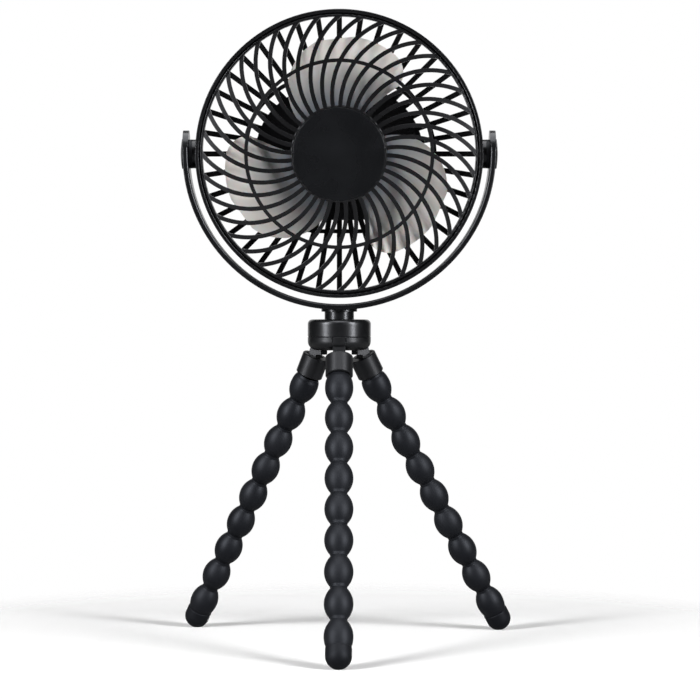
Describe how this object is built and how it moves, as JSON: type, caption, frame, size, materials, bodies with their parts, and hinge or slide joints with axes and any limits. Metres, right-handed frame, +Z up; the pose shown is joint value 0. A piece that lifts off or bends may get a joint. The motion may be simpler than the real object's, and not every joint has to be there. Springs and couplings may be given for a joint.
{
  "type": "rechargeable personal fan",
  "caption": "Rechargeable personal fan with a round caged head that tilts in a U yoke, which swivels on a tripod of bendable beaded legs.",
  "frame": {"origin": "on the swivel axis, in the plane that the three feet stand on", "axes": "+Z up along the swivel axis, -Y the way the fan blows, +X to the right as seen from the front"},
  "size_m": [0.1652, 0.1619, 0.3076],
  "materials": {
    "grille_plastic": "satin black moulded plastic",
    "cap_plastic": "fine satin black plastic",
    "housing_plastic": "satin black moulded plastic",
    "frame_plastic": "gloss black plastic",
    "hub_plastic": "satin black moulded plastic",
    "collar_plastic": "satin black moulded plastic",
    "button_plastic": "satin dark grey plastic",
    "blade_plastic": "pale warm-grey satin plastic",
    "sleeve_rubber": "matte soft rubber",
    "foot_rubber": "matte rubber",
    "washer_rubber": "friction washer",
    "light_lens": "frosted light window",
    "board": "circuit board",
    "switch_plastic": "tact switch",
    "cell": null,
    "steel": "bright steel",
    "bushing_brass": "sintered bushing"
  },
  "bodies": {
    "hub": {"hub_upper": "hub_plastic", "hub_lower": "hub_plastic", "hub_screws": "steel", "leg_hinge_pins": "steel"},
    "yoke": {"yoke": "frame_plastic", "pivot_caps": "frame_plastic", "swivel_post": "hub_plastic", "swivel_washer": "steel", "swivel_screw": "steel"},
    "head": {"front_grille": "grille_plastic", "hub_cap": "cap_plastic", "rear_grille": "grille_plastic", "rear_cover": "housing_plastic", "cover_screws": "steel", "charge_lights": "light_lens", "circuit_board": "board", "charging_socket": "steel", "tact_switch": "switch_plastic", "battery_cells": "cell", "motor_can": "steel", "motor_bushing": "bushing_brass", "motor_screws": "steel", "tilt_washers": "washer_rubber", "tilt_screws": "steel"},
    "impeller": {"impeller": "blade_plastic", "motor_shaft": "steel"},
    "button": {"power_button": "button_plastic"},
    "front_collar": {"front_leg_collar": "collar_plastic"},
    "front_bead_1": {"front_leg_bead_1": "sleeve_rubber"},
    "front_bead_2": {"front_leg_bead_2": "sleeve_rubber"},
    "front_bead_3": {"front_leg_bead_3": "sleeve_rubber"},
    "front_bead_4": {"front_leg_bead_4": "sleeve_rubber"},
    "front_bead_5": {"front_leg_bead_5": "sleeve_rubber"},
    "front_bead_6": {"front_leg_bead_6": "sleeve_rubber"},
    "front_bead_7": {"front_leg_bead_7": "sleeve_rubber"},
    "front_bead_8": {"front_leg_bead_8": "sleeve_rubber"},
    "front_bead_9": {"front_leg_bead_9": "sleeve_rubber", "front_leg_foot": "foot_rubber"},
    "right_collar": {"right_leg_collar": "collar_plastic"},
    "right_bead_1": {"right_leg_bead_1": "sleeve_rubber"},
    "right_bead_2": {"right_leg_bead_2": "sleeve_rubber"},
    "right_bead_3": {"right_leg_bead_3": "sleeve_rubber"},
    "right_bead_4": {"right_leg_bead_4": "sleeve_rubber"},
    "right_bead_5": {"right_leg_bead_5": "sleeve_rubber"},
    "right_bead_6": {"right_leg_bead_6": "sleeve_rubber"},
    "right_bead_7": {"right_leg_bead_7": "sleeve_rubber"},
    "right_bead_8": {"right_leg_bead_8": "sleeve_rubber"},
    "right_bead_9": {"right_leg_bead_9": "sleeve_rubber", "right_leg_foot": "foot_rubber"},
    "left_collar": {"left_leg_collar": "collar_plastic"},
    "left_bead_1": {"left_leg_bead_1": "sleeve_rubber"},
    "left_bead_2": {"left_leg_bead_2": "sleeve_rubber"},
    "left_bead_3": {"left_leg_bead_3": "sleeve_rubber"},
    "left_bead_4": {"left_leg_bead_4": "sleeve_rubber"},
    "left_bead_5": {"left_leg_bead_5": "sleeve_rubber"},
    "left_bead_6": {"left_leg_bead_6": "sleeve_rubber"},
    "left_bead_7": {"left_leg_bead_7": "sleeve_rubber"},
    "left_bead_8": {"left_leg_bead_8": "sleeve_rubber"},
    "left_bead_9": {"left_leg_bead_9": "sleeve_rubber", "left_leg_foot": "foot_rubber"}
  },
  "joints": [
    {"name": "swivel", "type": "hinge", "parent": "hub", "child": "yoke", "pos_m": [0, 0, 0.15721], "axis": [0, 0, 1], "continuous": true},
    {"name": "tilt", "type": "hinge", "parent": "yoke", "child": "head", "pos_m": [0, 0, 0.23761], "axis": [1, 0, 0], "continuous": true},
    {"name": "impeller_spin", "type": "hinge", "parent": "head", "child": "impeller", "pos_m": [0, 0, 0.23761], "axis": [0, -0.9986, -0.0523], "continuous": true},
    {"name": "button_press", "type": "slide", "parent": "head", "child": "button", "axis": [0, -0.9986, -0.0523], "range_m": [0, 0.0006], "stiffness_N_per_m": 800},
    {"name": "front_leg_fold", "type": "hinge", "parent": "hub", "child": "front_collar", "pos_m": [0, -0.0141, 0.13711], "axis": [-1, 0, 0], "range_deg": [-27, 2]},
    {"name": "front_leg_sway", "type": "hinge", "parent": "front_collar", "child": "front_bead_1", "pos_m": [0, -0.01856, 0.12906], "axis": [0, -0.8572, 0.515], "range_deg": [-15, 15]},
    {"name": "front_leg_curl_1", "type": "hinge", "parent": "front_bead_1", "child": "front_bead_2", "pos_m": [0, -0.02541, 0.11766], "axis": [1, 0, 0], "range_deg": [-24, 14]},
    {"name": "front_leg_curl_2", "type": "hinge", "parent": "front_bead_2", "child": "front_bead_3", "pos_m": [0, -0.0337, 0.10386], "axis": [1, 0, 0], "range_deg": [-24, 14]},
    {"name": "front_leg_curl_3", "type": "hinge", "parent": "front_bead_3", "child": "front_bead_4", "pos_m": [0, -0.04199, 0.09006], "axis": [1, 0, 0], "range_deg": [-24, 14]},
    {"name": "front_leg_curl_4", "type": "hinge", "parent": "front_bead_4", "child": "front_bead_5", "pos_m": [0, -0.05029, 0.07626], "axis": [1, 0, 0], "range_deg": [-24, 14]},
    {"name": "front_leg_curl_5", "type": "hinge", "parent": "front_bead_5", "child": "front_bead_6", "pos_m": [0, -0.05858, 0.06246], "axis": [1, 0, 0], "range_deg": [-24, 14]},
    {"name": "front_leg_curl_6", "type": "hinge", "parent": "front_bead_6", "child": "front_bead_7", "pos_m": [0, -0.06687, 0.04866], "axis": [1, 0, 0], "range_deg": [-24, 14]},
    {"name": "front_leg_curl_7", "type": "hinge", "parent": "front_bead_7", "child": "front_bead_8", "pos_m": [0, -0.07516, 0.03486], "axis": [1, 0, 0], "range_deg": [-24, 14]},
    {"name": "front_leg_curl_8", "type": "hinge", "parent": "front_bead_8", "child": "front_bead_9", "pos_m": [0, -0.08346, 0.02106], "axis": [1, 0, 0], "range_deg": [-24, 14]},
    {"name": "right_leg_fold", "type": "hinge", "parent": "hub", "child": "right_collar", "pos_m": [0.01221, 0.00705, 0.13711], "axis": [0.5, -0.866, 0], "range_deg": [-27, 2]},
    {"name": "right_leg_sway", "type": "hinge", "parent": "right_collar", "child": "right_bead_1", "pos_m": [0.01607, 0.00928, 0.12906], "axis": [0.7423, 0.4286, 0.515], "range_deg": [-15, 15]},
    {"name": "right_leg_curl_1", "type": "hinge", "parent": "right_bead_1", "child": "right_bead_2", "pos_m": [0.02201, 0.01271, 0.11766], "axis": [-0.5, 0.866, 0], "range_deg": [-24, 14]},
    {"name": "right_leg_curl_2", "type": "hinge", "parent": "right_bead_2", "child": "right_bead_3", "pos_m": [0.02919, 0.01685, 0.10386], "axis": [-0.5, 0.866, 0], "range_deg": [-24, 14]},
    {"name": "right_leg_curl_3", "type": "hinge", "parent": "right_bead_3", "child": "right_bead_4", "pos_m": [0.03637, 0.021, 0.09006], "axis": [-0.5, 0.866, 0], "range_deg": [-24, 14]},
    {"name": "right_leg_curl_4", "type": "hinge", "parent": "right_bead_4", "child": "right_bead_5", "pos_m": [0.04355, 0.02514, 0.07626], "axis": [-0.5, 0.866, 0], "range_deg": [-24, 14]},
    {"name": "right_leg_curl_5", "type": "hinge", "parent": "right_bead_5", "child": "right_bead_6", "pos_m": [0.05073, 0.02929, 0.06246], "axis": [-0.5, 0.866, 0], "range_deg": [-24, 14]},
    {"name": "right_leg_curl_6", "type": "hinge", "parent": "right_bead_6", "child": "right_bead_7", "pos_m": [0.05791, 0.03344, 0.04866], "axis": [-0.5, 0.866, 0], "range_deg": [-24, 14]},
    {"name": "right_leg_curl_7", "type": "hinge", "parent": "right_bead_7", "child": "right_bead_8", "pos_m": [0.06509, 0.03758, 0.03486], "axis": [-0.5, 0.866, 0], "range_deg": [-24, 14]},
    {"name": "right_leg_curl_8", "type": "hinge", "parent": "right_bead_8", "child": "right_bead_9", "pos_m": [0.07227, 0.04173, 0.02106], "axis": [-0.5, 0.866, 0], "range_deg": [-24, 14]},
    {"name": "left_leg_fold", "type": "hinge", "parent": "hub", "child": "left_collar", "pos_m": [-0.01221, 0.00705, 0.13711], "axis": [0.5, 0.866, 0], "range_deg": [-22, 7]},
    {"name": "left_leg_sway", "type": "hinge", "parent": "left_collar", "child": "left_bead_1", "pos_m": [-0.01545, 0.00892, 0.1287], "axis": [-0.6547, 0.5494, 0.5192], "range_deg": [-15, 15]},
    {"name": "left_leg_curl_1", "type": "hinge", "parent": "left_bead_1", "child": "left_bead_2", "pos_m": [-0.02074, 0.01336, 0.11734], "axis": [-0.6428, -0.766, 0], "range_deg": [-24, 14]},
    {"name": "left_leg_curl_2", "type": "hinge", "parent": "left_bead_2", "child": "left_bead_3", "pos_m": [-0.02714, 0.01873, 0.10358], "axis": [-0.6428, -0.766, 0], "range_deg": [-24, 14]},
    {"name": "left_leg_curl_3", "type": "hinge", "parent": "left_bead_3", "child": "left_bead_4", "pos_m": [-0.03355, 0.0241, 0.08981], "axis": [-0.6428, -0.766, 0], "range_deg": [-24, 14]},
    {"name": "left_leg_curl_4", "type": "hinge", "parent": "left_bead_4", "child": "left_bead_5", "pos_m": [-0.03995, 0.02948, 0.07605], "axis": [-0.6428, -0.766, 0], "range_deg": [-24, 14]},
    {"name": "left_leg_curl_5", "type": "hinge", "parent": "left_bead_5", "child": "left_bead_6", "pos_m": [-0.04635, 0.03485, 0.06229], "axis": [-0.6428, -0.766, 0], "range_deg": [-24, 14]},
    {"name": "left_leg_curl_6", "type": "hinge", "parent": "left_bead_6", "child": "left_bead_7", "pos_m": [-0.05276, 0.04022, 0.04853], "axis": [-0.6428, -0.766, 0], "range_deg": [-24, 14]},
    {"name": "left_leg_curl_7", "type": "hinge", "parent": "left_bead_7", "child": "left_bead_8", "pos_m": [-0.05916, 0.0456, 0.03477], "axis": [-0.6428, -0.766, 0], "range_deg": [-24, 14]},
    {"name": "left_leg_curl_8", "type": "hinge", "parent": "left_bead_8", "child": "left_bead_9", "pos_m": [-0.06556, 0.05097, 0.02101], "axis": [-0.6428, -0.766, 0], "range_deg": [-24, 14]}
  ],
  "couplings": [
    {"joint": "front_leg_curl_2", "follows": "front_leg_curl_1", "ratio": 1},
    {"joint": "front_leg_curl_3", "follows": "front_leg_curl_1", "ratio": 1},
    {"joint": "front_leg_curl_4", "follows": "front_leg_curl_1", "ratio": 1},
    {"joint": "front_leg_curl_5", "follows": "front_leg_curl_1", "ratio": 1},
    {"joint": "front_leg_curl_6", "follows": "front_leg_curl_1", "ratio": 1},
    {"joint": "front_leg_curl_7", "follows": "front_leg_curl_1", "ratio": 1},
    {"joint": "front_leg_curl_8", "follows": "front_leg_curl_1", "ratio": 1},
    {"joint": "right_leg_curl_2", "follows": "right_leg_curl_1", "ratio": 1},
    {"joint": "right_leg_curl_3", "follows": "right_leg_curl_1", "ratio": 1},
    {"joint": "right_leg_curl_4", "follows": "right_leg_curl_1", "ratio": 1},
    {"joint": "right_leg_curl_5", "follows": "right_leg_curl_1", "ratio": 1},
    {"joint": "right_leg_curl_6", "follows": "right_leg_curl_1", "ratio": 1},
    {"joint": "right_leg_curl_7", "follows": "right_leg_curl_1", "ratio": 1},
    {"joint": "right_leg_curl_8", "follows": "right_leg_curl_1", "ratio": 1},
    {"joint": "left_leg_curl_2", "follows": "left_leg_curl_1", "ratio": 1},
    {"joint": "left_leg_curl_3", "follows": "left_leg_curl_1", "ratio": 1},
    {"joint": "left_leg_curl_4", "follows": "left_leg_curl_1", "ratio": 1},
    {"joint": "left_leg_curl_5", "follows": "left_leg_curl_1", "ratio": 1},
    {"joint": "left_leg_curl_6", "follows": "left_leg_curl_1", "ratio": 1},
    {"joint": "left_leg_curl_7", "follows": "left_leg_curl_1", "ratio": 1},
    {"joint": "left_leg_curl_8", "follows": "left_leg_curl_1", "ratio": 1}
  ]
}
